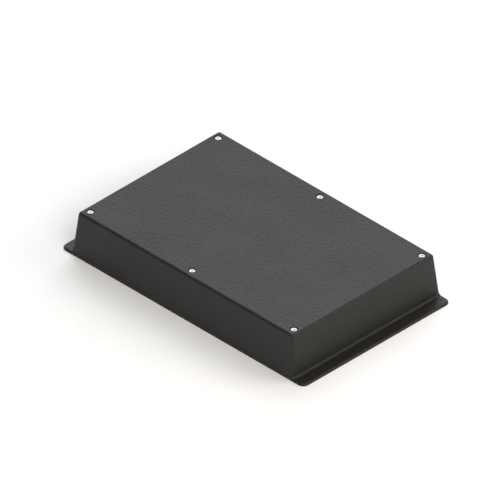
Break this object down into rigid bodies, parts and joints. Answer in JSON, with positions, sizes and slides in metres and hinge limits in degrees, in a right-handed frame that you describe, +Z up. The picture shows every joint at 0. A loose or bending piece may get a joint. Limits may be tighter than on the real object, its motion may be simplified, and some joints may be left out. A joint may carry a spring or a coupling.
{
  "type": "enclosed yagi antenna",
  "caption": "Flat flanged radome over a closing base that carries a rod-type Yagi array, its balun and a coaxial socket in the rear wall.",
  "frame": {"origin": "centre of the underside, on the plane the antenna rests on", "axes": "+X along the long side, the direction of fire, away from the socket; +Z up through the screwed face"},
  "size_m": [0.32, 0.195, 0.048],
  "materials": {
    "radome_plastic": "fine moulded texture",
    "base_plastic": "smooth satin",
    "seal_rubber": "matt",
    "insert_brass": "machined",
    "boom_aluminium": "satin anodised",
    "fitting_plastic": "satin",
    "strap_steel": "zinc plated",
    "screw_steel": "stainless",
    "cover_screw_steel": "bright stainless",
    "element_aluminium": "drawn",
    "saddle_nylon": "satin",
    "balun_plastic": "satin",
    "circuit_board": "solder mask",
    "ferrite": "ground ceramic",
    "plate_aluminium": "bright chromated",
    "nickel_plate": "nickel plated",
    "port_ptfe": "white insulator",
    "gold_plate": "gold plated",
    "cable_jacket": "smooth jacket"
  },
  "bodies": {
    "base": {"balun_board": "circuit_board", "balun_case": "balun_plastic", "balun_lid": "balun_plastic", "balun_transformer": "ferrite", "base_gasket": "seal_rubber", "base_plate": "base_plastic", "boom": "boom_aluminium", "boom_front_plug": "fitting_plastic", "boom_rear_plug": "fitting_plastic", "cable_clip": "fitting_plastic", "cable_grommet": "seal_rubber", "connector_plate": "plate_aluminium", "connector_seal": "seal_rubber", "dipole_saddle": "saddle_nylon", "director_1": "element_aluminium", "director_1_saddle": "saddle_nylon", "director_2": "element_aluminium", "director_2_saddle": "saddle_nylon", "director_3": "element_aluminium", "director_3_saddle": "saddle_nylon", "element_screws": "screw_steel", "feed_cable": "cable_jacket", "folded_dipole": "element_aluminium", "front_cradle": "fitting_plastic", "front_strap": "strap_steel", "mount_inserts": "insert_brass", "pillar_inserts": "insert_brass", "plate_screws": "screw_steel", "port_body": "nickel_plate", "port_contact": "gold_plate", "port_insulator": "port_ptfe", "port_nut": "nickel_plate", "port_o_ring": "seal_rubber", "port_washer": "nickel_plate", "rear_cradle": "fitting_plastic", "rear_strap": "strap_steel", "reflector": "element_aluminium", "reflector_saddle": "saddle_nylon", "strap_screws": "screw_steel", "terminal_posts": "insert_brass", "terminal_screws": "screw_steel"},
    "cover": {"radome": "radome_plastic", "screw_seals": "seal_rubber"},
    "screw_1": {"cover_screw_1": "cover_screw_steel"},
    "screw_2": {"cover_screw_2": "cover_screw_steel"},
    "screw_3": {"cover_screw_3": "cover_screw_steel"},
    "screw_4": {"cover_screw_4": "cover_screw_steel"},
    "screw_5": {"cover_screw_5": "cover_screw_steel"},
    "screw_6": {"cover_screw_6": "cover_screw_steel"}
  },
  "joints": [
    {"name": "cover_lift", "type": "slide", "parent": "base", "child": "cover", "axis": [0, 0, 1], "range_m": [0, 0.075]},
    {"name": "cover_screw_1_turn", "type": "hinge", "parent": "cover", "child": "screw_1", "pos_m": [-0.1342, -0.0843, 0.045], "axis": [0, 0, 1], "continuous": true},
    {"name": "cover_screw_2_turn", "type": "hinge", "parent": "cover", "child": "screw_2", "pos_m": [0, -0.0843, 0.045], "axis": [0, 0, 1], "continuous": true},
    {"name": "cover_screw_3_turn", "type": "hinge", "parent": "cover", "child": "screw_3", "pos_m": [0.1342, -0.0843, 0.045], "axis": [0, 0, 1], "continuous": true},
    {"name": "cover_screw_4_turn", "type": "hinge", "parent": "cover", "child": "screw_4", "pos_m": [-0.1342, 0.0843, 0.045], "axis": [0, 0, 1], "continuous": true},
    {"name": "cover_screw_5_turn", "type": "hinge", "parent": "cover", "child": "screw_5", "pos_m": [0, 0.0843, 0.045], "axis": [0, 0, 1], "continuous": true},
    {"name": "cover_screw_6_turn", "type": "hinge", "parent": "cover", "child": "screw_6", "pos_m": [0.1342, 0.0843, 0.045], "axis": [0, 0, 1], "continuous": true}
  ]
}
